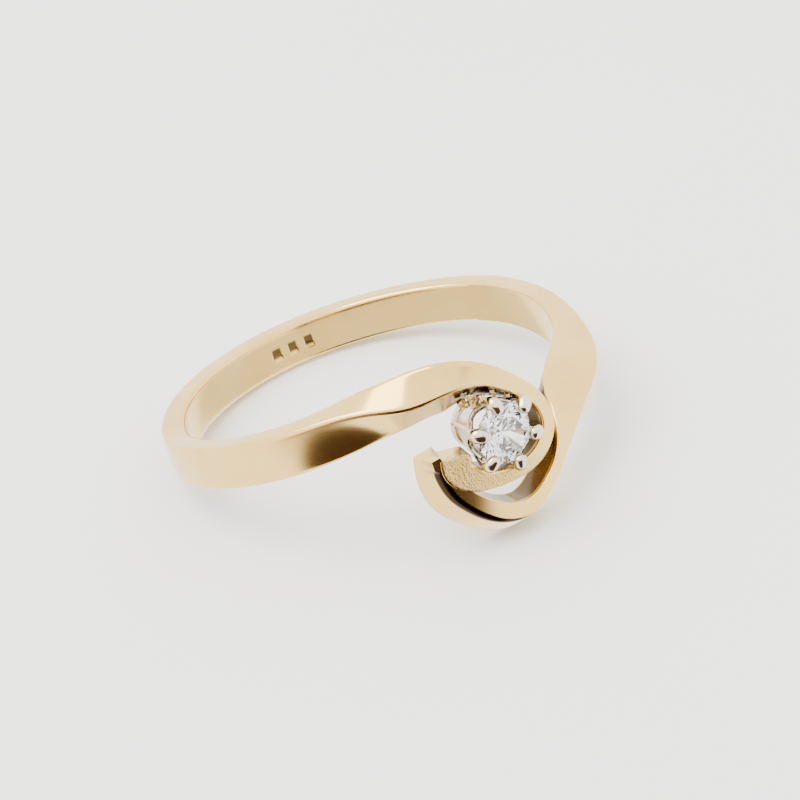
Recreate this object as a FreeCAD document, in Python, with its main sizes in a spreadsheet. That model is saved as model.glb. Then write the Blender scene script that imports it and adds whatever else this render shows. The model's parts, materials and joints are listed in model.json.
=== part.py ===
import FreeCAD, Part
import math
import os

# A solitaire engagement ring whose strip of gold crosses over itself at the head.
#
# Bench frame, in millimetres: the finger hole runs along +Z, the head faces -Y and +X is to
# the right when looking at the head. A place on the band is an angle from the head (positive
# towards +X), a reach beyond the finger hole and a rise along Z. Every piece is drawn in this
# frame, then one shared placement lays the ring down on its side, as a ring rests on a table.

V = FreeCAD.Vector

DIMENSIONS = (
    ("finger_radius", 8.5, "inside radius of the band"),
    ("band_thick", 1.1, "thickness of the plain band"),
    ("band_width", 2.0, "width of the plain band along the finger"),
    ("ream_allowance", 0.08, "gold left inside an arm before the finger hole is reamed"),
    ("ream_length", 30.0, "length of the reamer that finishes the finger hole"),
    ("edge_round", 0.22, "radius of the worn edges of the gold"),
    ("edge_share", 0.35, "most that a worn edge takes, as a share of the face's width"),
    ("arm_start", 112.0, "degrees from the head where the plain band meets each arm"),
    ("fitting_proud", 0.6, "how far the cutter that fits one arm to the other stands proud"),
    ("stone_dia", 2.6, "girdle diameter of the diamond"),
    ("stone_shift", -0.22, "head centre along X"),
    ("stone_rise", 0.12, "head centre along Z"),
    ("girdle_reach", 2.55, "girdle height above the finger hole"),
    ("girdle_half", 0.03, "half the girdle thickness, as a share of the stone's radius"),
    ("table_share", 0.56, "table radius as a share of the stone's radius"),
    ("star_share", 0.76, "radius where star facets end, as a share of the stone's radius"),
    ("lower_share", 0.23, "radius where lower halves end, as a share of the stone's radius"),
    ("crown_angle", 34.5, "slope of the crown in degrees"),
    ("pavilion_angle", 40.8, "slope of the pavilion in degrees"),
    ("collet_base", 0.1, "underside of the setting above the finger hole"),
    ("base_height", 0.38, "height of the ring that the setting stands on"),
    ("base_outer", 1.06, "outer radius of that ring"),
    ("base_inner", 0.72, "inner radius of that ring"),
    ("collet_low", 0.98, "outer radius of the collet at its foot"),
    ("collet_high", 1.44, "outer radius of the collet at its rim"),
    ("collet_wall", 0.24, "wall of the collet"),
    ("collet_height", 1.75, "height of the collet"),
    ("scallop_radius", 0.42, "radius of the round bites between the claws"),
    ("claw_count", 6, "claws round the stone"),
    ("claw_turn", -22.0, "angle of the first claw from +X towards +Z"),
    ("claw_foot", 0.16, "radius of a claw at its foot"),
    ("claw_neck", 0.2, "radius of a claw beside the stone"),
    ("claw_head", 0.33, "half length of a claw's rounded head"),
    ("claw_head_side", 0.25, "half width of a claw's rounded head"),
    ("claw_head_rise", 0.22, "half height of a claw's rounded head"),
    ("claw_foot_circle", 1.04, "radius of the circle of claw feet"),
    ("claw_neck_circle", 1.51, "radius of the circle of claw necks"),
    ("claw_spread", 1.37, "radius of the circle of claw heads"),
    ("claw_reach", 2.85, "height of the claw heads above the finger hole"),
    ("punch_count", 3, "plain marks punched inside the band"),
    ("punch_size", 0.45, "side of each punched mark"),
    ("punch_depth", 0.08, "depth of the punched marks"),
    ("punch_first", 162.0, "degrees from the head to the first punched mark"),
    ("punch_step", 6.0, "degrees from one punched mark to the next"),
    ("rest_pitch", -10.39, "degrees about X that bring the head up as the ring lies down"),
)

# Stations along the lit face of the strip: angle from the head, reach and rise of the middle
# of the face, width of the face, lean of the face (0 looks along the finger, 90 looks out of
# the head), depth of the strip behind the face, and how far its outer wall spreads at the back.
INNER_SWIRL = (
    (-112.0, 0.55, 1.00, 1.10, 0, 2.00, 0.00),
    (-90.0, 0.55, 1.38, 1.10, 0, 1.95, 0.00),
    (-70.0, 0.56, 1.91, 1.05, 1, 2.00, 0.00),
    (-50.0, 0.62, 2.46, 1.10, 5, 2.00, 0.00),
    (-38.0, 0.82, 2.87, 1.18, 14, 2.00, 0.00),
    (-28.0, 1.26, 3.14, 1.40, 32, 1.95, 0.00),
    (-19.0, 1.85, 3.21, 1.60, 53, 1.90, 0.08),
    (-11.0, 2.20, 3.28, 1.40, 66, 1.85, 0.48),
    (-1.6, 2.43, 2.78, 0.95, 80, 1.80, 0.66),
    (5.2, 2.50, 1.71, 0.78, 88, 1.75, 0.28),
    (10.2, 2.50, 0.52, 0.66, 90, 1.90, 0.00),
    (10.5, 2.50, -0.78, 0.66, 90, 1.90, 0.00),
    (6.2, 2.50, -1.52, 0.66, 90, 1.90, 0.00),
    (0.0, 2.50, -1.76, 0.62, 90, 1.85, 0.00),
    (-6.3, 2.50, -1.62, 0.74, 90, 1.70, 0.00),
    (-9.1, 2.50, -1.42, 0.95, 90, 1.58, 0.00),
    (-11.6, 2.50, -1.05, 1.20, 90, 1.48, 0.00),
    (-13.2, 2.50, -0.60, 1.34, 90, 1.42, 0.00),
    (-13.1, 2.50, -0.10, 1.36, 90, 1.40, 0.00),
)
OUTER_SWIRL = (
    (112.0, 0.55, 1.00, 1.10, 0, 2.00, 0.00),
    (96.0, 0.55, 0.90, 1.06, 1, 2.00, 0.00),
    (80.0, 0.58, 0.72, 1.08, 4, 2.00, 0.00),
    (64.0, 0.68, 0.40, 1.30, 8, 2.00, 0.00),
    (50.0, 0.84, 0.14, 1.85, 13, 2.00, 0.00),
    (38.0, 1.05, -0.10, 2.20, 21, 2.00, 0.00),
    (28.0, 1.32, -0.50, 2.05, 36, 1.90, 0.00),
    (20.1, 1.94, -1.12, 1.44, 62, 1.75, 0.14),
    (13.4, 2.42, -2.02, 0.70, 82, 1.58, 0.36),
    (7.3, 2.50, -2.95, 0.60, 88, 1.46, 0.56),
    (0.0, 2.50, -3.48, 0.76, 90, 1.40, 0.66),
    (-7.4, 2.50, -3.03, 0.90, 90, 1.40, 0.64),
    (-12.1, 2.50, -2.23, 0.88, 90, 1.40, 0.74),
    (-14.8, 2.50, -1.50, 0.85, 90, 1.40, 0.76),
    (-16.4, 2.50, -0.64, 0.70, 90, 1.40, 0.62),
    (-17.3, 2.50, 0.20, 0.42, 90, 1.40, 0.44),
)
SECTIONS_PER_STATION = 3

doc = FreeCAD.newDocument("ring")
sheet = doc.addObject("Spreadsheet::Sheet", "sizes")
for row, (alias, value, meaning) in enumerate(DIMENSIONS, start=1):
    sheet.set("A%d" % row, meaning)
    sheet.set("B%d" % row, str(value))
    sheet.setAlias("B%d" % row, alias)
doc.recompute()


def size(alias):
    """A driving dimension, read from the sheet."""
    return float(sheet.get(alias))


FINGER = size("finger_radius")
HEAD = V(size("stone_shift"), 0.0, size("stone_rise"))
TO_HEAD = FreeCAD.Rotation(V(1, 0, 0), 90)


def bind(item, **cells):
    """Tie an object's properties to formulas over the sheet."""
    for name, formula in cells.items():
        item.setExpression(name, formula)
    return item


def on_head(reach):
    """A place on the stone's axis, at a reach beyond the finger hole."""
    return HEAD - V(0, FINGER + reach, 0)


# ---------------------------------------------------------------- the gold strip

def polar(angle, radius, rise):
    """A bench-frame point from its angle about the finger, its radius and its rise."""
    turn = math.radians(angle)
    return V(radius * math.sin(turn), -radius * math.cos(turn), rise)


def smooth_path(points, knots, start):
    """A smooth curve through points that leaves the first one along start."""
    last = (points[-1] - points[-2]) * (1 / (knots[-1] - knots[-2]))
    curve = Part.BSplineCurve()
    curve.interpolate(Points=points, Parameters=knots, InitialTangent=start, FinalTangent=last)
    return curve


def between(values, knots, knot):
    """A value read between stations, with the slope at each one set by its neighbours."""
    end = len(knots) - 1
    i = min(max(k for k in range(end) if knots[k] <= knot), end - 1)

    def slope(k):
        low, high = max(k - 1, 0), min(k + 1, end)
        return (values[high] - values[low]) / (knots[high] - knots[low])

    span = knots[i + 1] - knots[i]
    f = (knot - knots[i]) / span
    rise = values[i + 1] - values[i]
    ease = f * f * (3 - 2 * f)
    return (values[i] + rise * ease + span * slope(i) * f * (1 - f) ** 2
            - span * slope(i + 1) * f * f * (1 - f))


def section(middle, ahead, sense, lean, width, depth, spread, proud):
    """One section of the strip across its travel: rounded, or square and proud as a cutter."""
    outward = V(middle.x, middle.y, 0).normalize()
    face = V(0, 0, math.cos(lean)) + outward * math.sin(lean)
    face = (face - ahead * face.dot(ahead)).normalize()
    across = ahead.cross(face) * sense
    outer = width / 2
    inner = -width / 2 - size("ream_allowance") * math.cos(lean)

    def at(side, back):
        return middle + across * side - face * back

    if proud:
        corners = [at(outer, -proud), at(outer, depth + proud),
                   at(inner, depth + proud), at(inner, -proud)]
        return Part.makePolygon(corners + corners[:1])

    round_off = min(size("edge_round"), size("edge_share") * width)
    bulge = round_off * (1 - math.sqrt(0.5))

    def corner(side, back, side_in, back_in):
        return (at(side - side_in * round_off, back),
                at(side - side_in * bulge, back + back_in * bulge),
                at(side, back + back_in * round_off))

    arcs = (corner(outer, 0, 1, 1), corner(outer + spread, depth, 1, -1)[::-1],
            corner(inner, depth, -1, -1), corner(inner, 0, -1, 1)[::-1])
    edges = []
    for arc, follow in zip(arcs, arcs[1:] + arcs[:1]):
        edges.append(Part.Arc(*arc).toShape())
        edges.append(Part.LineSegment(arc[2], follow[0]).toShape())
    return Part.Wire(edges)


def strip(stations, sense, proud=0.0):
    """The solid swept by a section of the strip along a smooth curve through the stations."""
    angles, reaches, rises, widths, leans, depths, spreads = zip(*stations)
    middles = [polar(a, FINGER + reach, rise) for a, reach, rise in zip(angles, reaches, rises)]
    knots = [0.0]
    for before, after in zip(middles, middles[1:]):
        knots.append(knots[-1] + before.distanceToPoint(after))
    start = polar(angles[0] + 90 * sense, 1, 0)
    path = smooth_path(middles, knots, start)
    stops = [before + (after - before) * step / SECTIONS_PER_STATION
             for before, after in zip(knots, knots[1:]) for step in range(SECTIONS_PER_STATION)]
    wires = []
    for knot in stops + [knots[-1]]:
        lean = math.radians(between(leans, knots, knot))
        traits = [between(trait, knots, knot) for trait in (widths, depths, spreads)]
        wires.append(section(path.value(knot), path.tangent(knot)[0], sense, lean, *traits, proud))
    return Part.makeLoft(wires, True, True)


def feature(label, shape):
    """A document object that holds a ready-made shape."""
    item = doc.addObject("Part::Feature", label)
    item.Shape = shape
    return item


finger = Part.makeCylinder(FINGER, size("ream_length"), V(0, 0, -size("ream_length") / 2))
inner_swirl = feature("inner_swirl_arm", strip(INNER_SWIRL, 1).cut(finger))
neighbour = strip(INNER_SWIRL, 1, proud=size("fitting_proud"))
outer_swirl = feature("outer_swirl_arm", strip(OUTER_SWIRL, -1).cut(finger).cut(neighbour))


# ---------------------------------------------------------------- the plain band

def plain_band():
    """The plain back of the band: its section turned about the finger, with punched marks."""
    thick, half, off = size("band_thick"), size("band_width") / 2, size("edge_round")
    body = doc.addObject("PartDesign::Body", "plain_band")
    sketch = body.newObject("Sketcher::SketchObject", "band_section")
    plane = [f for f in body.Origin.OriginFeatures if f.Role == "XZ_Plane"][0]
    sketch.AttachmentSupport = (plane, [""])
    sketch.MapMode = "FlatFace"
    low, high = FINGER, FINGER + thick
    points = [V(low, -half, 0), V(high - off, -half, 0), V(high, -half + off, 0),
              V(high, half - off, 0), V(high - off, half, 0), V(low, half, 0)]
    for here, there in zip(points, points[1:] + points[:1]):
        sketch.addGeometry(Part.LineSegment(here, there))
    sweep = body.newObject("PartDesign::Revolution", "band_turn")
    sweep.Profile = sketch
    sweep.ReferenceAxis = (sketch, ["V_Axis"])
    bind(sweep, Angle="360 - 2 * sizes.arm_start")
    body.Placement = FreeCAD.Placement(V(0, 0, 0), V(0, 0, 1), size("arm_start") - 90)
    return body


def punched(body):
    """Plain square marks punched into the inside of the band."""
    side = size("punch_size")
    corner = FreeCAD.Placement(V(FINGER - side + size("punch_depth"), -side / 2, -side / 2),
                               FreeCAD.Rotation())
    marks = []
    for k in range(int(size("punch_count"))):
        angle = size("punch_first") + size("punch_step") * k
        turn = FreeCAD.Placement(V(0, 0, 0), V(0, 0, 1), angle - 90)
        marks.append(primitive("Box", "punch_%d" % (k + 1), turn.multiply(corner),
                               Length="sizes.punch_size", Width="sizes.punch_size",
                               Height="sizes.punch_size"))
    joined = doc.addObject("Part::MultiFuse", "punches")
    joined.Shapes = marks
    return boolean("Cut", "shank", body, joined)


# ---------------------------------------------------------------- the setting

def head_placement(reach):
    """A placement under the stone whose own +Z looks out of the head."""
    return FreeCAD.Placement(on_head(reach), TO_HEAD)


def primitive(kind, name, place=None, **cells):
    """A Part primitive bound to the sheet, with its own placement."""
    item = bind(doc.addObject("Part::" + kind, name), **cells)
    if place is not None:
        item.Placement = place
    return item


def boolean(kind, name, base, tool, place=None):
    """A cut or a common of two objects."""
    item = doc.addObject("Part::" + kind, name)
    item.Base = base
    item.Tool = tool
    if place is not None:
        item.Placement = place
    return item


def base_ring():
    """The ring that the setting stands on, just outside the finger hole."""
    outer = primitive("Cylinder", "base_disc", Radius="sizes.base_outer",
                      Height="sizes.base_height")
    hole = primitive("Cylinder", "base_hole", Radius="sizes.base_inner",
                     Height="sizes.base_height")
    return boolean("Cut", "collet_base_ring", outer, hole, head_placement(size("collet_base")))


def claw_angles():
    """The angles of the claws about the stone."""
    count = int(size("claw_count"))
    return [size("claw_turn") + 360 * k / count for k in range(count)]


def collet():
    """The conical cup under the stone, its rim bitten away between the claws."""
    outer = primitive("Cone", "cup_outside", Radius1="sizes.collet_low",
                      Radius2="sizes.collet_high", Height="sizes.collet_height")
    inner = primitive("Cone", "cup_inside", Radius1="sizes.collet_low - sizes.collet_wall",
                      Radius2="sizes.collet_high - sizes.collet_wall",
                      Height="sizes.collet_height")
    cup = boolean("Cut", "cup", outer, inner)
    bites = []
    step = 180 / size("claw_count")
    for k, angle in enumerate(claw_angles()):
        outwards = V(math.cos(math.radians(angle + step)), math.sin(math.radians(angle + step)), 0)
        place = FreeCAD.Placement(V(0, 0, size("collet_height")),
                                  FreeCAD.Rotation(V(0, 0, 1), outwards))
        bites.append(primitive("Cylinder", "bite_%d" % (k + 1), place,
                               Radius="sizes.scallop_radius", Height="sizes.collet_high * 2"))
    joined = doc.addObject("Part::MultiFuse", "bites")
    joined.Shapes = bites
    reach = size("collet_base") + size("base_height")
    return boolean("Cut", "collet", cup, joined, head_placement(reach))


def claw(number, angle):
    """One claw: a tapered wire up the outside of the collet with a rounded head on the stone."""
    turn = math.radians(angle)
    spoke = V(math.cos(turn), 0, math.sin(turn))
    foot = on_head(size("collet_base") + size("base_height")) + spoke * size("claw_foot_circle")
    neck = on_head(size("girdle_reach")) + spoke * size("claw_neck_circle")
    tip = on_head(size("claw_reach")) + spoke * size("claw_spread")
    lean = FreeCAD.Rotation(V(0, 0, 1), neck - foot)
    rod = primitive("Cone", "claw_rod_%d" % number, FreeCAD.Placement(foot, lean),
                    Radius1="sizes.claw_foot", Radius2="sizes.claw_neck")
    rod.Height = foot.distanceToPoint(neck)
    pad = primitive("Ellipsoid", "claw_pad_%d" % number, Radius1="sizes.claw_head_rise",
                    Radius2="sizes.claw_head", Radius3="sizes.claw_head_side")
    middle = (neck + tip) * 0.5
    inward = (tip - neck).normalize()
    pad.Placement = FreeCAD.Placement(middle, FreeCAD.Rotation(V(1, 0, 0), inward))
    whole = doc.addObject("Part::MultiFuse", "claw_%d" % number)
    whole.Shapes = [rod, pad]
    return whole


def brilliant():
    """The round brilliant: table, stars, kites and halves above, mains and halves below."""
    radius = size("stone_dia") / 2
    crown = math.tan(math.radians(size("crown_angle")))
    pavilion = math.tan(math.radians(size("pavilion_angle")))
    girdle, table = size("girdle_half"), size("table_share")
    star, lower = size("star_share"), size("lower_share")
    eighth = math.pi / 8

    def ring(count, share, level, start=0.0):
        turns = [start + 2 * math.pi * k / count for k in range(count)]
        return [V(share * math.cos(a), share * math.sin(a), level) * radius for a in turns]

    table_ring = ring(8, table, girdle + (1 - table) * crown)
    star_ring = ring(8, star, girdle + (1 - star * math.cos(eighth)) * crown, eighth)
    top_ring = ring(16, 1.0, girdle)
    low_ring = ring(16, 1.0, -girdle)
    lower_ring = ring(8, lower, -girdle - (1 - lower * math.cos(eighth)) * pavilion, eighth)
    culet = V(0, 0, -(girdle + pavilion) * radius)
    faces = [table_ring]
    for k in range(8):
        t0, t1, s0 = table_ring[k], table_ring[(k + 1) % 8], star_ring[k]
        g0, g1, g2 = top_ring[2 * k], top_ring[2 * k + 1], top_ring[(2 * k + 2) % 16]
        l0, l1, l2 = low_ring[2 * k], low_ring[2 * k + 1], low_ring[(2 * k + 2) % 16]
        m0, m1 = lower_ring[k - 1], lower_ring[k]
        faces += [[t0, s0, t1], [t0, g0, s0], [t1, s0, g2], [s0, g0, g1], [s0, g1, g2],
                  [g0, l0, l1, g1], [g1, l1, l2, g2], [l0, m0, m1], [l0, m1, l1],
                  [l1, m1, l2], [m0, culet, m1]]
    shell = Part.Shell([Part.Face(Part.makePolygon(f + f[:1])) for f in faces])
    stone = Part.Solid(shell)
    if stone.Volume < 0:
        stone.reverse()
    item = feature("diamond", stone)
    item.Placement = head_placement(size("girdle_reach"))
    return item


pieces = [punched(plain_band()), inner_swirl, outer_swirl, base_ring(), collet(), brilliant()]
pieces += [claw(k + 1, angle) for k, angle in enumerate(claw_angles())]
doc.recompute()


# ---------------------------------------------------------------- laid down to rest

def lay_down(items):
    """Turn the finished ring into its resting pose, standing on the origin."""
    lean = FreeCAD.Rotation(V(1, 0, 0), size("rest_pitch"))
    turned = [item.Shape.copy() for item in items]
    for shape in turned:
        shape.Placement = FreeCAD.Placement(V(0, 0, 0), lean).multiply(shape.Placement)
    box = Part.makeCompound(turned).optimalBoundingBox()
    shift = V(-(box.XMin + box.XMax) / 2, -(box.YMin + box.YMax) / 2, -box.ZMin)
    rest = FreeCAD.Placement(shift, lean)
    for item in items:
        item.Placement = rest.multiply(item.Placement)


lay_down(pieces)
doc.recompute()

# ---------------------------------------------------------------- checks and export

for item in doc.Objects:
    if {"Invalid", "Error"} & set(item.State):
        raise SystemExit("%s did not compute: %s" % (item.Label, item.State))
for piece in pieces:
    if piece.Shape.isNull() or not piece.Shape.isValid() or len(piece.Shape.Solids) != 1:
        raise SystemExit("%s is not one sound solid" % piece.Label)

os.makedirs("parts", exist_ok=True)
for piece in pieces:
    piece.Shape.exportStep("parts/%s.step" % piece.Label)
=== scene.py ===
import json
import math

import bmesh
import bpy
import numpy as np
from mathutils import Matrix, Vector, noise


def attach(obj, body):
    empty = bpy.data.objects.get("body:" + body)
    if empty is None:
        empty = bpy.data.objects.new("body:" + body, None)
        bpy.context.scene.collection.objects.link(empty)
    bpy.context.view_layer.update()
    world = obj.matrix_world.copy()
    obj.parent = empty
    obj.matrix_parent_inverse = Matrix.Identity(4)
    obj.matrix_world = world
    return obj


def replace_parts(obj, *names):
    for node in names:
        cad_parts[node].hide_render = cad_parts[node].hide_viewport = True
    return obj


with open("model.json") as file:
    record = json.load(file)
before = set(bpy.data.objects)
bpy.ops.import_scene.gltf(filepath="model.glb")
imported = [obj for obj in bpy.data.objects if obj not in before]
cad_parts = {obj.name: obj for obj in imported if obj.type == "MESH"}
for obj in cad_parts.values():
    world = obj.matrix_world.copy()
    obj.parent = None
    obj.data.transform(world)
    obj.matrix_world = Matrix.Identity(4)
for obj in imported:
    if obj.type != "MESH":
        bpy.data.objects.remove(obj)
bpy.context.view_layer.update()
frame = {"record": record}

# A twist solitaire ring. Shapes are drawn in the bench frame, in millimetres: the finger hole
# runs along +Z through the origin, the head faces -Y, and +X is to the right of the head.
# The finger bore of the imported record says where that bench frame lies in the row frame.

MM = 0.001
BORE = [m for m in frame["record"]["mounts"] if m["name"] == "finger_bore"][0]
FINGER = BORE["dims"]["r_mm"]
PITCH = -math.atan2(BORE["axis"][1], BORE["axis"][2])
BENCH = (Matrix.Translation(BORE["pos_m"]) @ Matrix.Rotation(PITCH, 4, "X")
         @ Matrix.Scale(MM, 4))

THICK, WIDTH = 1.10, 2.00          # the plain band
ARM_START = 112.0                  # degrees from the head where the arms meet the plain band
DOME = 0.05                        # how far the plain outer wall bulges
EDGE = 0.20                        # radius of the worn edges
SLIM_EDGE = 0.10                   # radius of the edges beside the stone
SWEEP_EDGE = 0.14                  # radius of the outer arm's outer edge below the stone
CRISP = 0.03                       # radius of an edge that is fitted to its neighbour
EDGE_SHARE = 0.3                   # most that an edge takes, as a share of the face's width
SEAM = 0.012                       # the outer arm's end lies this far behind the inner arm's face
BEVEL_SLOPE, BEVEL_CURVE = 0.6, 1.5
PUNCHES, PUNCH_FIRST, PUNCH_STEP = 3, 170.0, 6.0     # how many, and degrees from the head
PUNCH_SIZE, PUNCH_DEPTH = 0.45, 0.08

# The head: place of its centre, then reaches beyond the finger hole and radii.
HEAD_X, HEAD_Z = -0.22, 0.12
BASE_LOW, BASE_HIGH = 0.10, 0.48
BASE_OUTER, BASE_INNER, BASE_LIP = 1.06, 0.72, 0.08
CUP_HIGH = 2.23
CUP_FOOT, CUP_RIM, CUP_WALL, CUP_LIP = 0.98, 1.44, 0.24, 0.06
BITE_DEPTH, BITE_SHAPE = 0.42, 0.6           # the bites in the cup's rim between the claws
CLAWS, CLAW_TURN = 6, -22.0
CLAW_OVAL, CLAW_CAP = 1.05, 0.8              # a claw's sideways stretch and its end's roundness

# The stone: radius and girdle height, slopes in degrees, and facet rings as shares of the radius.
STONE = 1.30
GIRDLE = 2.55
STONE_TURN = 11.0
CROWN_ANGLE, PAVILION_ANGLE = 34.5, 40.8
TABLE, STAR, LOWER, GIRDLE_HALF = 0.56, 0.76, 0.23, 0.03

# Stations along the lit face of the strip: angle from the head, reach and rise of the middle
# of the face, width of the face, lean of the face (0 looks along the finger, 90 looks out of
# the head), depth of the strip behind the face, and how far its outer wall spreads at the back.
INNER_SWIRL = (
    (-112.0, 0.55, 1.00, 1.10, 0, 2.00, 0.00),
    (-90.0, 0.55, 1.38, 1.10, 0, 1.95, 0.00),
    (-70.0, 0.56, 1.91, 1.05, 1, 2.00, 0.00),
    (-50.0, 0.62, 2.46, 1.10, 5, 2.00, 0.00),
    (-38.0, 0.82, 2.87, 1.18, 14, 2.00, 0.00),
    (-28.0, 1.26, 3.14, 1.40, 32, 1.95, 0.00),
    (-19.0, 1.85, 3.21, 1.60, 53, 1.90, 0.08),
    (-11.0, 2.20, 3.28, 1.40, 66, 1.85, 0.48),
    (-1.6, 2.43, 2.78, 0.95, 80, 1.80, 0.66),
    (5.2, 2.50, 1.71, 0.78, 88, 1.75, 0.28),
    (10.2, 2.50, 0.52, 0.66, 90, 1.90, 0.00),
    (10.5, 2.50, -0.78, 0.66, 90, 1.90, 0.00),
    (6.2, 2.50, -1.52, 0.66, 90, 1.90, 0.00),
    (0.0, 2.50, -1.76, 0.62, 90, 1.85, 0.00),
    (-6.3, 2.50, -1.62, 0.74, 90, 1.70, 0.00),
    (-9.1, 2.50, -1.42, 0.95, 90, 1.58, 0.00),
    (-11.6, 2.50, -1.05, 1.20, 90, 1.48, 0.00),
    (-13.2, 2.50, -0.60, 1.34, 90, 1.42, 0.00),
    (-13.1, 2.50, -0.10, 1.36, 90, 1.40, 0.00),
)
OUTER_SWIRL = (
    (112.0, 0.55, 1.00, 1.10, 0, 2.00, 0.00),
    (96.0, 0.55, 0.90, 1.06, 1, 2.00, 0.00),
    (80.0, 0.58, 0.72, 1.08, 4, 2.00, 0.00),
    (64.0, 0.68, 0.40, 1.30, 8, 2.00, 0.00),
    (50.0, 0.84, 0.14, 1.85, 13, 2.00, 0.00),
    (38.0, 1.05, -0.10, 2.20, 21, 2.00, 0.00),
    (28.0, 1.32, -0.50, 2.05, 36, 1.90, 0.00),
    (20.1, 1.94, -1.12, 1.44, 62, 1.75, 0.14),
    (13.4, 2.42, -2.02, 0.70, 82, 1.58, 0.36),
    (7.3, 2.50, -2.95, 0.60, 88, 1.46, 0.56),
    (0.0, 2.50, -3.48, 0.76, 90, 1.40, 0.66),
    (-7.4, 2.50, -3.03, 0.90, 90, 1.40, 0.64),
    (-12.1, 2.50, -2.23, 0.88, 90, 1.40, 0.74),
    (-14.8, 2.50, -1.50, 0.85, 90, 1.40, 0.76),
    (-16.4, 2.50, -0.64, 0.70, 90, 1.40, 0.62),
    (-17.3, 2.50, 0.20, 0.42, 90, 1.40, 0.44),
)


# ------------------------------------------------------------------ small helpers

def unit(v):
    """v scaled to length one, row by row."""
    return v / np.linalg.norm(v, axis=-1, keepdims=True)


def polar(angle, radius, rise):
    """A bench point from its angle about the finger in degrees, its radius and its rise."""
    turn = np.radians(angle)
    return np.stack([radius * np.sin(turn), -radius * np.cos(turn), rise + 0 * turn], -1)


def on_head(reach, across, along):
    """A bench point from its reach beyond the finger hole and its offsets from the stone."""
    across, along = np.broadcast_arrays(across, along)
    return np.stack([HEAD_X + across, -(FINGER + reach) + 0 * across, HEAD_Z + along], -1)


def new_piece(name, points, faces, material, smooth=True):
    """A mesh object from bench points in millimetres, riding on the ring."""
    mesh = bpy.data.meshes.new(name)
    mesh.from_pydata([BENCH @ Vector(p) for p in points], [], faces)
    mesh.validate()
    shell = bmesh.new()
    shell.from_mesh(mesh)
    bmesh.ops.recalc_face_normals(shell, faces=shell.faces)
    shell.to_mesh(mesh)
    shell.free()
    mesh.polygons.foreach_set("use_smooth", [smooth] * len(mesh.polygons))
    mesh.materials.append(material)
    piece = bpy.data.objects.new(name, mesh)
    bpy.context.scene.collection.objects.link(piece)
    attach(piece, "root")
    return piece


def quads(rows, cols):
    """Quads of a grid of rows that each close on themselves."""
    return [(i * cols + j, i * cols + (j + 1) % cols,
             (i + 1) * cols + (j + 1) % cols, (i + 1) * cols + j)
            for i in range(rows - 1) for j in range(cols)]


def tube(rings):
    """Points and faces of a closed solid through equal rings of points."""
    rows, cols, _ = rings.shape
    points = rings.reshape(-1, 3)
    ends = np.stack([rings[0].mean(0), rings[-1].mean(0)])
    top, tail = len(points), len(points) + 1
    faces = quads(rows, cols)
    faces += [(top, (j + 1) % cols, j) for j in range(cols)]
    last = (rows - 1) * cols
    faces += [(tail, last + j, last + (j + 1) % cols) for j in range(cols)]
    return np.concatenate([points, ends]), faces


class Spline:
    """A smooth curve through values at knots, with bending continuous everywhere."""

    def __init__(self, knots, values, start=None):
        self.knots, self.values = np.asarray(knots), np.asarray(values, float)
        n, gaps = len(knots), np.diff(knots)
        rates = np.diff(self.values, axis=0) / gaps[:, None]
        a, b = np.eye(n), np.zeros_like(self.values)
        for i in range(1, n - 1):
            a[i, i - 1:i + 2] = gaps[i - 1], 2 * (gaps[i - 1] + gaps[i]), gaps[i]
            b[i] = 6 * (rates[i] - rates[i - 1])
        if start is not None:
            a[0, :2] = 2 * gaps[0], gaps[0]
            b[0] = 6 * (rates[0] - start)
        self.bends = np.linalg.solve(a, b)

    def __call__(self, at):
        """Values and slopes at an array of places."""
        k = self.knots
        i = np.clip(np.searchsorted(k, at, "right") - 1, 0, len(k) - 2)
        gap = (k[i + 1] - k[i])[:, None]
        f = (at - k[i])[:, None] / gap
        g = 1 - f
        v0, v1, m0, m1 = self.values[i], self.values[i + 1], self.bends[i], self.bends[i + 1]
        value = g * v0 + f * v1 + gap ** 2 / 6 * ((g ** 3 - g) * m0 + (f ** 3 - f) * m1)
        slope = (v1 - v0) / gap + gap / 6 * ((1 - 3 * g ** 2) * m0 + (3 * f ** 2 - 1) * m1)
        return value, slope


def between(values, knots, at):
    """Values read between stations, with the slope at each one set by its neighbours."""
    values, knots = np.asarray(values, float), np.asarray(knots)
    places = np.arange(len(knots))
    low, high = np.maximum(places - 1, 0), np.minimum(places + 1, len(knots) - 1)
    slopes = (values[high] - values[low]) / (knots[high] - knots[low])
    i = np.clip(np.searchsorted(knots, at, "right") - 1, 0, len(knots) - 2)
    gap = knots[i + 1] - knots[i]
    f = (at - knots[i]) / gap
    return (values[i] + (values[i + 1] - values[i]) * f * f * (3 - 2 * f)
            + gap * slopes[i] * f * (1 - f) ** 2 - gap * slopes[i + 1] * f * f * (1 - f))


# ------------------------------------------------------------------ materials

CLOUD_SCALE, CLOUD_LOW, CLOUD_HIGH = 260.0, 0.32, 0.7     # soft patches of worn colour
SCRATCH_SCALE = (900, 900, 9000)
SCRATCH_STRENGTH, SCRATCH_DEPTH = 0.05, 0.00002
GLOSS_LOW, GLOSS_HIGH = 0.75, 1.35           # roughness between and inside the scratches
# dark brown used for painted shade and painted dark reflections
PAINTED_SHADE_COLOUR = (0.045, 0.026, 0.014, 1)
GRAIN_SCALE, GRAIN_DEPTH, GRAIN_ROUGHNESS = 11000.0, 0.00007, 0.16
STONE_IOR, HAZE_SCALE = 2.1, 900.0


def material(name):
    """A new material: its node tree, its shader and a function that adds nodes."""
    made = bpy.data.materials.new(name)
    made.use_nodes = True
    tree = made.node_tree
    shader = tree.nodes["Principled BSDF"]

    def add(kind, **settings):
        node = tree.nodes.new("ShaderNode" + kind)
        for key, value in settings.items():
            if key in node.inputs.keys():
                node.inputs[key].default_value = value
            else:
                setattr(node, key, value)
        return node

    return made, tree.links.new, shader, add


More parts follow.
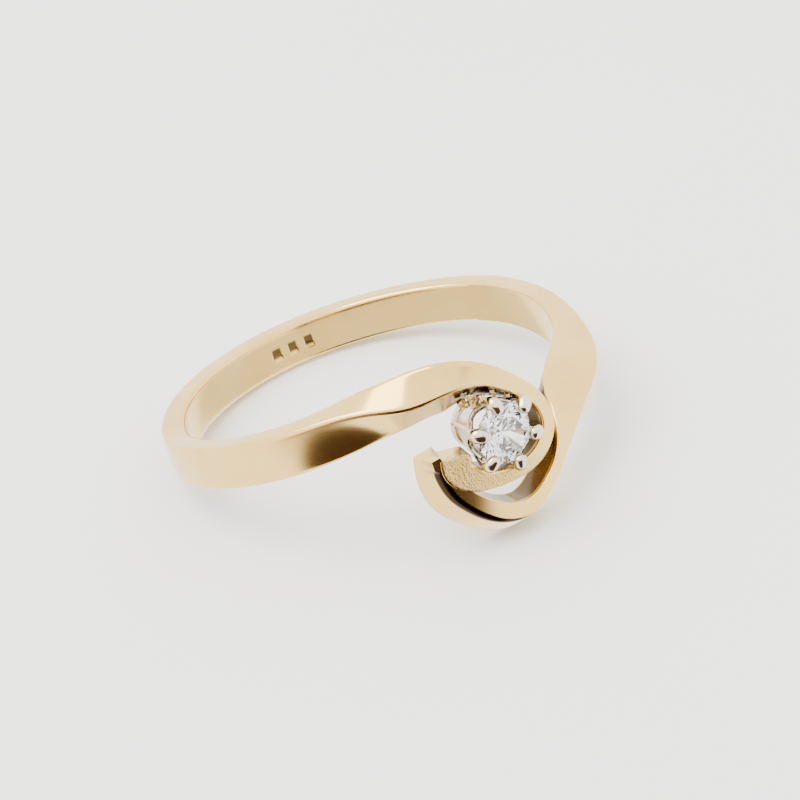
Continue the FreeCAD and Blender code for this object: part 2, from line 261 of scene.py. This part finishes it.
def gold(name, colour, worn_colour, roughness, grain=False):
    """Polished metal with worn patches, fine scratches, painted shade and painted dark reflections
    set by a shade level, and maybe a grained face.
    """
    made, link, shader, add = material(name)
    shader.inputs["Metallic"].default_value = 1.0
    place = add("TexCoord")
    cloudy = add("TexNoise", Scale=CLOUD_SCALE, Detail=3.0, Roughness=0.55)
    link(place.outputs["Object"], cloudy.inputs["Vector"])
    tint = add("ValToRGB")
    plain, worn = tint.color_ramp.elements
    plain.position, worn.position = CLOUD_LOW, CLOUD_HIGH
    plain.color, worn.color = (*colour, 1), (*worn_colour, 1)
    link(cloudy.outputs["Fac"], tint.inputs["Fac"])
    # painted shade: the shade level mixes the base colour towards a dark brown
    dark = add("Mix", data_type="RGBA")
    painted_shade = add("Attribute", attribute_name="shade")
    link(painted_shade.outputs["Fac"], dark.inputs[0])
    link(tint.outputs["Color"], dark.inputs[6])
    dark.inputs[7].default_value = PAINTED_SHADE_COLOUR
    link(dark.outputs[2], shader.inputs["Base Color"])

    stretch = add("Mapping")
    stretch.inputs["Scale"].default_value = SCRATCH_SCALE
    link(place.outputs["Object"], stretch.inputs["Vector"])
    scratches = add("TexNoise", Scale=1.0, Detail=4.0, Roughness=0.7)
    link(stretch.outputs["Vector"], scratches.inputs["Vector"])
    gloss = add("MapRange")
    gloss.inputs["To Min"].default_value = roughness * GLOSS_LOW
    gloss.inputs["To Max"].default_value = roughness * GLOSS_HIGH
    link(scratches.outputs["Fac"], gloss.inputs["Value"])
    bump = add("Bump", Strength=SCRATCH_STRENGTH, Distance=SCRATCH_DEPTH)
    link(scratches.outputs["Fac"], bump.inputs["Height"])
    if not grain:
        link(gloss.outputs["Result"], shader.inputs["Roughness"])
        link(bump.outputs["Normal"], shader.inputs["Normal"])
        return made

    where = add("Attribute", attribute_name="grain")
    pits = add("TexNoise", Scale=GRAIN_SCALE, Detail=2.0, Roughness=0.6)
    link(place.outputs["Object"], pits.inputs["Vector"])
    depth = add("Math", operation="MULTIPLY")
    link(pits.outputs["Fac"], depth.inputs[0])
    link(where.outputs["Fac"], depth.inputs[1])
    blasted = add("Bump", Strength=1.0, Distance=GRAIN_DEPTH)
    link(depth.outputs["Value"], blasted.inputs["Height"])
    link(bump.outputs["Normal"], blasted.inputs["Normal"])
    link(blasted.outputs["Normal"], shader.inputs["Normal"])
    rough = add("Math", operation="MULTIPLY_ADD")
    rough.inputs[1].default_value = GRAIN_ROUGHNESS
    link(where.outputs["Fac"], rough.inputs[0])
    link(gloss.outputs["Result"], rough.inputs[2])
    link(rough.outputs["Value"], shader.inputs["Roughness"])
    return made


def diamond_glass():
    """Clear stone with a slight grey haze that thickens and thins inside it."""
    made, link, shader, add = material("diamond")
    shader.inputs["IOR"].default_value = STONE_IOR
    shader.inputs["Transmission Weight"].default_value = 1.0
    shader.inputs["Roughness"].default_value = 0.0
    place = add("TexCoord")
    haze = add("TexNoise", Scale=HAZE_SCALE, Detail=4.0, Roughness=0.6)
    link(place.outputs["Object"], haze.inputs["Vector"])
    tint = add("ValToRGB")
    tint.color_ramp.elements[0].color = (0.82, 0.85, 0.90, 1)
    tint.color_ramp.elements[1].color = (0.98, 0.98, 1.0, 1)
    link(haze.outputs["Fac"], tint.inputs["Fac"])
    link(tint.outputs["Color"], shader.inputs["Base Color"])
    return made


YELLOW = gold("yellow_gold", (0.82, 0.52, 0.15), (0.90, 0.62, 0.22), 0.16, grain=True)
WHITE = gold("white_gold", (0.66, 0.56, 0.42), (0.78, 0.70, 0.57), 0.14)
SOLDER = gold("solder_gold", (0.76, 0.54, 0.24), (0.85, 0.70, 0.42), 0.28)
DIAMOND = diamond_glass()


# ------------------------------------------------------------------ the gold strip

ROUND_STEPS, FLAT_STEPS = 7, 12
STEPS_PER_MM = 12
SHANK_STEPS = 420


def outline(width, depth, edges, dome=0.0, spread=0.0, bevel=0.0):
    """A closed section as (side, back) pairs: side runs outwards and back runs behind the face.

    edges are the corner radii of the outer and the inner side, and bevel the width of a
    sloping cut along the outer edge of the face.
    """
    half = width / 2
    outer, inner = edges
    corners = ((half, 0, 1, 1, outer), (half + spread, depth, 1, -1, outer),
               (-half, depth, -1, -1, inner), (-half, 0, -1, 1, inner))
    sides = []
    for n, (side, back, side_in, back_in, edge) in enumerate(corners):
        turns = np.linspace(0, math.pi / 2, ROUND_STEPS)
        if n % 2:
            turns = turns[::-1]
        arc = np.stack([side - side_in * edge * (1 - np.sin(turns)),
                        back + back_in * edge * (1 - np.cos(turns))], -1)
        sides.append(arc)
    if bevel > 0:
        share = np.linspace(0, 1, ROUND_STEPS)
        drop = BEVEL_SLOPE * bevel * share ** BEVEL_CURVE
        sides[0] = np.stack([half - bevel * (1 - share), drop], -1)
    rows = []
    for arc, follow in zip(sides, sides[1:] + sides[:1]):
        rows.append(arc)
        f = np.linspace(0, 1, FLAT_STEPS + 2)[1:-1, None]
        rows.append(arc[-1] * (1 - f) + follow[0] * f)
    section = np.concatenate(rows)
    bulge = dome * (1 - (2 * section[:, 1] / depth - 1) ** 2)
    section[:, 0] += np.where(section[:, 0] > 0, bulge, 0)
    return section


# Where the parts of the section lie in its list of points.
BEVEL_AT = slice(0, ROUND_STEPS)
FAR_WALL_AT = slice(ROUND_STEPS, ROUND_STEPS + FLAT_STEPS)
NEAR_WALL_AT = slice(3 * ROUND_STEPS + 2 * FLAT_STEPS, 3 * ROUND_STEPS + 3 * FLAT_STEPS)
FACE_AT = slice(4 * ROUND_STEPS + 3 * FLAT_STEPS, 4 * ROUND_STEPS + 4 * FLAT_STEPS)


class Strip:
    """The gold strip through stations: sense is 1 for the left arm and -1 for the right one."""

    def __init__(self, stations, sense):
        (angles, reaches, rises, self.widths, self.leans, self.depths,
         self.spreads) = np.array(stations).T
        middles = polar(angles, FINGER + reaches, rises)
        gaps = np.linalg.norm(np.diff(middles, axis=0), axis=1)
        self.knots = np.concatenate([[0], np.cumsum(gaps)])
        self.sense = sense
        self.path = Spline(self.knots, middles, polar(angles[0] + 90 * sense, 1, 0))
        self.length = self.knots[-1]

    def frame(self, at):
        """Middles of the face, the way outwards across it and the way out of it."""
        middle, ahead = self.path(at)
        ahead = unit(ahead)
        lean = np.radians(between(self.leans, self.knots, at))[:, None]
        outward = unit(middle * [1, 1, 0])
        face = np.cos(lean) * [0, 0, 1] + np.sin(lean) * outward
        face = unit(face - ahead * (face * ahead).sum(-1, keepdims=True))
        return middle, np.cross(ahead, face) * self.sense, face

    def rings(self, at, edges, bevels):
        """Rings of points of the section, for corner radii and bevel widths at each place."""
        middle, across, face = self.frame(at)
        traits = [between(t, self.knots, at) for t in (self.widths, self.depths, self.spreads)]
        plain = np.cos(np.radians(between(self.leans, self.knots, at))) ** 4
        rings = []
        for n, (width, depth, spread) in enumerate(zip(*traits)):
            limits = np.minimum(edges[n], EDGE_SHARE * width)
            pairs = outline(width, depth, limits, DOME * plain[n], max(spread, 0), bevels[n])
            rings.append(middle[n] + pairs[:, :1] * across[n] - pairs[:, 1:] * face[n])
        return np.array(rings)


def ream(points):
    """Push what is inside the finger hole out to its wall, as a reamer would cut it."""
    radius = np.linalg.norm(points[..., :2], axis=-1, keepdims=True)
    scale = np.maximum(1, FINGER / np.maximum(radius, 1e-6))
    points[..., :2] *= scale
    return points


def paint(piece, name, level):
    """Store a level from 0 to 1 on each ring point, and 0 on the middles of the two ends."""
    layer = piece.data.attributes.new(name, "FLOAT", "POINT")
    layer.data.foreach_set("value", np.append(level, [0, 0]).astype(np.float32))


def gold_piece(name, rings, grain, shade):
    """A yellow gold piece through rings, grained and darkened with painted shade by a level on
    each ring point.
    """
    rows, cols, _ = rings.shape
    points, faces = tube(ream(rings))
    piece = new_piece(name, points, faces, YELLOW)
    paint(piece, "grain", grain)
    # painted shade level on each ring point
    paint(piece, "shade", shade)
    sharp_ends(piece, rows, cols)
    return piece


def sharp_ends(piece, rows, cols):
    """Keep the cut ends of a swept piece crisp."""
    mesh = piece.data
    sharp = mesh.attributes.new("sharp_edge", "BOOLEAN", "EDGE")
    last = (rows - 1) * cols
    for edge in mesh.edges:
        a, b = edge.vertices
        ends = (a < cols and b < cols) or (a >= last and b >= last and max(a, b) < rows * cols)
        sharp.data[edge.index].value = ends


def stops_at(strip):
    """Places along a strip, and each one's share of its length."""
    at = np.linspace(0, strip.length, int(strip.length * STEPS_PER_MM))
    return at, at / strip.length


def build_inner_arm():
    """The arm whose end loops round the stone and finishes as a grained tail below it."""
    strip = Strip(INNER_SWIRL, 1)
    at, share = stops_at(strip)
    near = np.interp(share, (0.50, 0.60), (EDGE, SLIM_EDGE))
    far = np.interp(share, (0.74, 0.80), (EDGE, CRISP))
    rings = strip.rings(at, np.stack([near, far], -1), np.zeros(len(at)))
    grain, shade = np.zeros(rings.shape[:2]), np.zeros(rings.shape[:2])
    grain[:, FACE_AT] = np.interp(share, (0.78, 0.90), (0, 1))[:, None]
    # painted shade on the wall that faces the stone, along the loop
    shade[:, FAR_WALL_AT] = np.interp(share, (0.56, 0.62), (0, 0.95))[:, None]
    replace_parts(gold_piece("gold_inner_arm", rings, grain, shade), "inner_swirl_arm")


def build_outer_arm():
    """The arm that sweeps under the stone, bevelled along the outer edge of its end."""
    strip = Strip(OUTER_SWIRL, -1)
    at, share = stops_at(strip)
    near = np.interp(share, (0.80, 0.84), (SLIM_EDGE, CRISP))
    far = np.interp(share, (0.55, 0.70, 0.95, 1.0), (EDGE, SWEEP_EDGE, SWEEP_EDGE, CRISP))
    bevel = np.interp(share, (0.775, 0.86, 0.975, 0.985), (0, 0.26, 0.40, 0))
    rings = strip.rings(at, np.stack([far, near], -1), bevel)
    rings[:, :, 1] += np.interp(share, (0.78, 0.82), (0, SEAM))[:, None]
    grain, shade = np.zeros(rings.shape[:2]), np.zeros(rings.shape[:2])
    # painted dark reflection along the bevel
    shade[:, BEVEL_AT] = np.clip(bevel / 0.1, 0, 1)[:, None]
    # painted shade on the inner wall of this arm, beside the gap to the other arm
    painted_shade = np.interp(share, (0.48, 0.56, 0.80, 0.86), (0, 0.96, 0.93, 0.6))
    shade[:, NEAR_WALL_AT] = painted_shade[:, None]
    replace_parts(gold_piece("gold_outer_arm", rings, grain, shade), "outer_swirl_arm")


def build_shank():
    """The plain back of the band, with plain punched marks inside it that are darkened with
    painted shade.
    """
    angles = np.linspace(ARM_START, 360 - ARM_START, SHANK_STEPS)
    pairs = outline(THICK, WIDTH, (EDGE, EDGE), DOME)
    side, rise = pairs[:, 0] + THICK / 2, WIDTH / 2 - pairs[:, 1]
    turn = np.radians(angles)[:, None]
    radius = FINGER + side[None, :] + 0 * turn
    rise = rise[None, :] + 0 * turn
    shade = np.zeros(radius.shape)
    for k in range(PUNCHES):
        from_mark = (np.radians(PUNCH_FIRST + PUNCH_STEP * k) - turn) * FINGER
        inside = ((np.abs(from_mark) < PUNCH_SIZE / 2) & (np.abs(rise) < PUNCH_SIZE / 2)
                  & (side < 0.01))
        radius = radius + np.where(inside, PUNCH_DEPTH, 0)
        # painted shade inside the punched marks
        shade = np.where(inside, 0.9, shade)
    rings = np.stack([radius * np.sin(turn), -radius * np.cos(turn), rise], -1)
    piece = gold_piece("gold_shank", rings, np.zeros(shade.shape), shade)
    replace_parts(piece, "shank")


# ------------------------------------------------------------------ the setting

def turned(name, rows, steps):
    """A closed piece turned about the stone's axis: rows(angle) gives (reach, radius) pairs."""
    angles = np.linspace(0, 2 * math.pi, steps, endpoint=False)
    loops = np.array([[on_head(reach, radius * math.cos(a), radius * math.sin(a))
                       for reach, radius in rows(a)] for a in angles])
    count, cols, _ = loops.shape
    faces = [(i * cols + j, i * cols + (j + 1) % cols,
              (i + 1) % count * cols + (j + 1) % cols, (i + 1) % count * cols + j)
             for i in range(count) for j in range(cols)]
    return new_piece(name, loops.reshape(-1, 3), faces, WHITE)


def rounded_wall(low, high, foot, rim, wall, edge):
    """(reach, radius) pairs round a tapered wall from foot to rim with rounded lips."""
    turns = np.linspace(0, math.pi, 7)
    levels = np.linspace(low + edge, high - edge, 8)
    slope = (rim - foot) / max(high - low, 1e-6)

    def outer(level):
        return foot + slope * (level - low)

    top = [(high - edge + edge * math.sin(t), outer(high) - wall * (1 - math.cos(t)) / 2)
           for t in turns]
    bottom = [(low + edge - edge * math.sin(t), outer(low) - wall * (1 + math.cos(t)) / 2)
              for t in turns]
    return ([(level, outer(level)) for level in levels[1:-1]] + top
            + [(level, outer(level) - wall) for level in levels[-2:0:-1]] + bottom)


def build_base_ring():
    """The ring that the setting stands on."""
    pairs = rounded_wall(BASE_LOW, BASE_HIGH, BASE_OUTER, BASE_OUTER,
                         BASE_OUTER - BASE_INNER, BASE_LIP)
    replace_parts(turned("setting_base", lambda angle: pairs, 96), "collet_base_ring")


def build_collet():
    """The conical cup, its rim bitten away between the claws."""
    def rows(angle):
        phase = (math.degrees(angle) - CLAW_TURN) * CLAWS / 360 * 2 * math.pi
        bite = BITE_DEPTH * (0.5 - 0.5 * math.cos(phase)) ** BITE_SHAPE
        rim = CUP_RIM - bite * (CUP_RIM - CUP_FOOT) / (CUP_HIGH - BASE_HIGH)
        return rounded_wall(BASE_HIGH, CUP_HIGH - bite, CUP_FOOT, rim, CUP_WALL, CUP_LIP)

    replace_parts(turned("setting_cup", rows, 360), "collet")


# A claw's middle as (reach, radius) pairs, and its radius at each of them.
CLAW_PATH = ((0.44, 0.96), (1.20, 1.14), (2.00, 1.38), (2.45, 1.50), (2.78, 1.47), (2.92, 1.22))
CLAW_GIRTH = (0.12, 0.13, 0.16, 0.22, 0.30, 0.27)


def build_claw(number):
    """One claw: a wire up the outside of the cup that swells into a rounded head."""
    turn = math.radians(CLAW_TURN + 360 * number / CLAWS)
    reaches, radii = np.array(CLAW_PATH).T
    knots = np.concatenate([[0], np.cumsum(np.hypot(np.diff(reaches), np.diff(radii)))])
    path = Spline(knots, np.stack([reaches, radii], -1))
    at = np.linspace(0, knots[-1], 44)
    middle, ahead = path(at)
    ahead = unit(ahead)
    girth = between(CLAW_GIRTH, knots, at)
    cap = np.linspace(0, math.pi / 2, 9)[1:-1]
    spin = np.linspace(0, 2 * math.pi, 28, endpoint=False)
    rings = []
    rows = list(zip(middle, ahead, girth))
    rows += [(middle[-1] + ahead[-1] * girth[-1] * CLAW_CAP * math.sin(c), ahead[-1],
              girth[-1] * math.cos(c)) for c in cap]
    for (reach, radius), (up, out), g in rows:
        r = radius + g * np.cos(spin) * up
        h = reach - g * np.cos(spin) * out
        side = g * np.sin(spin) * CLAW_OVAL
        across = r * math.cos(turn) - side * math.sin(turn)
        along = r * math.sin(turn) + side * math.cos(turn)
        rings.append(np.stack([HEAD_X + across, -(FINGER + h), HEAD_Z + along], -1))
    points, faces = tube(np.array(rings))
    piece = new_piece("claw_wire_%d" % (number + 1), points, faces, WHITE)
    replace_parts(piece, "claw_%d" % (number + 1))


def build_diamond():
    """A round brilliant: table, stars, kites and halves above, mains and halves below."""
    crown, pavilion = (math.tan(math.radians(v)) for v in (CROWN_ANGLE, PAVILION_ANGLE))
    eighth = math.pi / 8
    flat = math.cos(eighth)

    def ring(count, radius, level, shift=0.0):
        a = shift + np.arange(count) * 2 * math.pi / count + math.radians(STONE_TURN)
        return on_head(GIRDLE + level * STONE, radius * STONE * np.cos(a),
                       radius * STONE * np.sin(a))

    points = np.concatenate([
        ring(8, TABLE, GIRDLE_HALF + (1 - TABLE) * crown),
        ring(8, STAR, GIRDLE_HALF + (1 - STAR * flat) * crown, eighth),
        ring(16, 1.0, GIRDLE_HALF),
        ring(16, 1.0, -GIRDLE_HALF),
        ring(8, LOWER, -GIRDLE_HALF - (1 - LOWER * flat) * pavilion, eighth),
        on_head(GIRDLE - (GIRDLE_HALF + pavilion) * STONE, np.zeros(1), np.zeros(1)),
    ])
    t, s, up, low, p, culet = 0, 8, 16, 32, 48, 56
    faces = [tuple(range(8))]
    for k in range(8):
        n, before = (k + 1) % 8, (k - 1) % 8
        g0, g1, g2 = 2 * k, 2 * k + 1, (2 * k + 2) % 16
        faces += [(t + k, s + k, t + n), (t + k, s + before, up + g0, s + k),
                  (s + k, up + g0, up + g1), (s + k, up + g1, up + g2),
                  (up + g0, low + g0, low + g1, up + g1), (up + g1, low + g1, low + g2, up + g2),
                  (low + g0, p + k, low + g1), (low + g1, p + k, low + g2),
                  (low + g0, p + before, culet, p + k)]
    piece = new_piece("brilliant", points, faces, DIAMOND, smooth=False)
    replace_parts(piece, "diamond")


CRUMPLE, CRUMPLE_SCALE = 0.7, 1.3            # the coarse unevenness of the solder
PIMPLE, PIMPLE_SCALE = 0.25, 2.9             # the finer one on top of it
SOLDER_LUMPS = (                   # across and along from the stone, reach and radius
    (-1.00, 1.66, 1.75, 0.20), (-0.76, 1.92, 2.00, 0.17), (-0.62, 1.50, 1.85, 0.22),
    (-0.38, 1.70, 2.20, 0.17), (0.25, 1.66, 2.15, 0.14), (0.76, 1.30, 2.25, 0.12),
)


def build_solder():
    """Small crumpled lumps of solder that hold the cup to the loop above it."""
    lats = np.linspace(0.1, math.pi - 0.1, 22)
    spin = np.linspace(0, 2 * math.pi, 32, endpoint=False)
    for n, (across, along, reach, size) in enumerate(SOLDER_LUMPS):
        rings = []
        for lat in lats:
            ring = []
            for a in spin:
                way = Vector((math.sin(lat) * math.cos(a), math.cos(lat),
                              math.sin(lat) * math.sin(a)))
                place = way * CRUMPLE_SCALE + Vector((n * 3.1, 0, 0))
                r = size * (1 + CRUMPLE * noise.noise(place)
                            + PIMPLE * noise.noise(place * PIMPLE_SCALE))
                ring.append(on_head(reach - way.y * r, across + way.x * r, along + way.z * r))
            rings.append(ring)
        points, faces = tube(np.array(rings))
        new_piece("solder_%d" % (n + 1), points, faces, SOLDER)


# ------------------------------------------------------------------ the ring

build_shank()
build_inner_arm()
build_outer_arm()
build_base_ring()
build_collet()
for claw_number in range(CLAWS):
    build_claw(claw_number)
build_diamond()
build_solder()


# ------------------------------------------------------------------ floor, light and camera

CAMERA_AZIMUTH, CAMERA_HEIGHT, CAMERA_ROLL = -26.0, 21.7, -17.2   # degrees, bench frame
CAMERA_DISTANCE, AIM_RIGHT, AIM_UP = 98.9, 1.27, -0.73           # millimetres
SENSOR, LENS = 36.0, 99.0
FLOOR_RADIUS, NEAR_RADIUS, NEAR_DROP = 0.6, 0.0083, 0.00002      # metres
LAMP_PLACE, LAMP_SIZE, LAMP_POWER = Vector((-0.12, 0.05, 0.30)), 0.25, 1.2


def flat_disc(name, radius, height, made):
    """A level disc centred under the ring."""
    steps = 64
    turns = [2 * math.pi * k / steps for k in range(steps)]
    mesh = bpy.data.meshes.new(name)
    mesh.from_pydata([(radius * math.cos(a), radius * math.sin(a), height) for a in turns],
                     [], [tuple(range(steps))])
    mesh.materials.append(made)
    disc = bpy.data.objects.new(name, mesh)
    bpy.context.scene.collection.objects.link(disc)
    return disc


def build_floor():
    """A plain pale floor, with only the part close under the ring mirrored in the gold."""
    made, link, shader, add = material("floor")
    shader.inputs["Roughness"].default_value = 0.9
    place = add("TexCoord")
    soft = add("TexNoise", Scale=40.0, Detail=2.0)
    link(place.outputs["Object"], soft.inputs["Vector"])
    tint = add("ValToRGB")
    tint.color_ramp.elements[0].color = (0.84, 0.84, 0.83, 1)
    tint.color_ramp.elements[1].color = (0.88, 0.88, 0.87, 1)
    link(soft.outputs["Fac"], tint.inputs["Fac"])
    link(tint.outputs["Color"], shader.inputs["Base Color"])
    floor = flat_disc("floor", FLOOR_RADIUS, 0.0, made)
    floor.visible_glossy = False
    near = flat_disc("near_floor", NEAR_RADIUS, -NEAR_DROP, made)
    near.visible_camera = False
    near.visible_shadow = False
    near.visible_diffuse = False


WHITE_SKY = (1.0, 0.99, 0.97, 1)
SKY_STRENGTH = 3.0
DARK_PATCHES = (                   # from and to azimuth, from and to height, softness, colour
    (-76.0, 10.0, -96.0, 10.0, 5.0, (0.030, 0.018, 0.012, 1)),
    (-84.0, -60.0, -24.0, -4.0, 9.0, (0.30, 0.17, 0.12, 1)),
)


def build_world():
    """Soft white surroundings with a dark shape in front for the gold to reflect."""
    world = bpy.data.worlds.new("studio")
    bpy.context.scene.world = world
    world.use_nodes = True
    tree = world.node_tree
    link = tree.links.new
    background = tree.nodes["Background"]

    def feed(socket, value):
        """Give a socket a plain number or colour, or link it to another node."""
        if isinstance(value, (float, tuple)):
            socket.default_value = value
        else:
            link(value, socket)

    def math_node(operation, first, second=0.5):
        node = tree.nodes.new("ShaderNodeMath")
        node.operation = operation
        feed(node.inputs[0], first)
        feed(node.inputs[1], second)
        return node.outputs["Value"]

    def window(value, low, high, soft):
        rise = tree.nodes.new("ShaderNodeMapRange")
        fall = tree.nodes.new("ShaderNodeMapRange")
        spans = ((rise, low - soft, low + soft), (fall, high + soft, high - soft))
        for node, first, last in spans:
            node.interpolation_type = "SMOOTHSTEP"
            link(value, node.inputs["Value"])
            node.inputs["From Min"].default_value = math.radians(first)
            node.inputs["From Max"].default_value = math.radians(last)
        return math_node("MULTIPLY", rise.outputs["Result"], fall.outputs["Result"])

    way = tree.nodes.new("ShaderNodeTexCoord")
    bench_way = tree.nodes.new("ShaderNodeVectorRotate")
    bench_way.rotation_type = "X_AXIS"
    bench_way.inputs["Angle"].default_value = -PITCH
    link(way.outputs["Generated"], bench_way.inputs["Vector"])
    parts = tree.nodes.new("ShaderNodeSeparateXYZ")
    link(bench_way.outputs["Vector"], parts.inputs["Vector"])
    forward = math_node("MULTIPLY", parts.outputs["Y"], -1.0)
    azimuth = math_node("ARCTAN2", parts.outputs["X"], forward)
    height = math_node("ARCSINE", parts.outputs["Z"])
    colour = WHITE_SKY
    for az_low, az_high, low, high, soft, tone in DARK_PATCHES:
        level = math_node("MULTIPLY", window(azimuth, az_low, az_high, soft),
                          window(height, low, high, soft))
        mix = tree.nodes.new("ShaderNodeMix")
        mix.data_type = "RGBA"
        feed(mix.inputs[0], level)
        feed(mix.inputs[6], colour)
        feed(mix.inputs[7], tone)
        colour = mix.outputs[2]
    link(colour, background.inputs["Color"])
    background.inputs["Strength"].default_value = SKY_STRENGTH


def build_light():
    """One large soft light above the left shoulder."""
    lamp = bpy.data.lights.new("softbox", "AREA")
    lamp.energy, lamp.size = LAMP_POWER, LAMP_SIZE
    light = bpy.data.objects.new("softbox", lamp)
    light.location = LAMP_PLACE
    light.rotation_euler = (-LAMP_PLACE).to_track_quat("-Z", "Y").to_euler()
    bpy.context.scene.collection.objects.link(light)


def build_camera():
    """The camera at the studied angle, aimed and rolled in the bench frame."""
    a, e, roll = (math.radians(v) for v in (CAMERA_AZIMUTH, CAMERA_HEIGHT, CAMERA_ROLL))
    back = Vector((math.sin(a) * math.cos(e), -math.cos(a) * math.cos(e), math.sin(e)))
    level = Vector((math.cos(a), math.sin(a), 0))
    upright = back.cross(level)
    right = level * math.cos(roll) + upright * math.sin(roll)
    up = upright * math.cos(roll) - level * math.sin(roll)
    spot = back * CAMERA_DISTANCE + right * AIM_RIGHT + up * AIM_UP
    turn = BENCH.to_3x3().normalized() @ Matrix((right, up, back)).transposed()
    lens = bpy.data.cameras.new("camera")
    lens.sensor_width, lens.lens = SENSOR, LENS
    lens.clip_start = 0.001
    camera = bpy.data.objects.new("camera", lens)
    camera.matrix_world = Matrix.Translation(BENCH @ spot) @ turn.to_4x4()
    bpy.context.scene.collection.objects.link(camera)
    bpy.context.scene.camera = camera


build_floor()
build_world()
build_light()
build_camera()
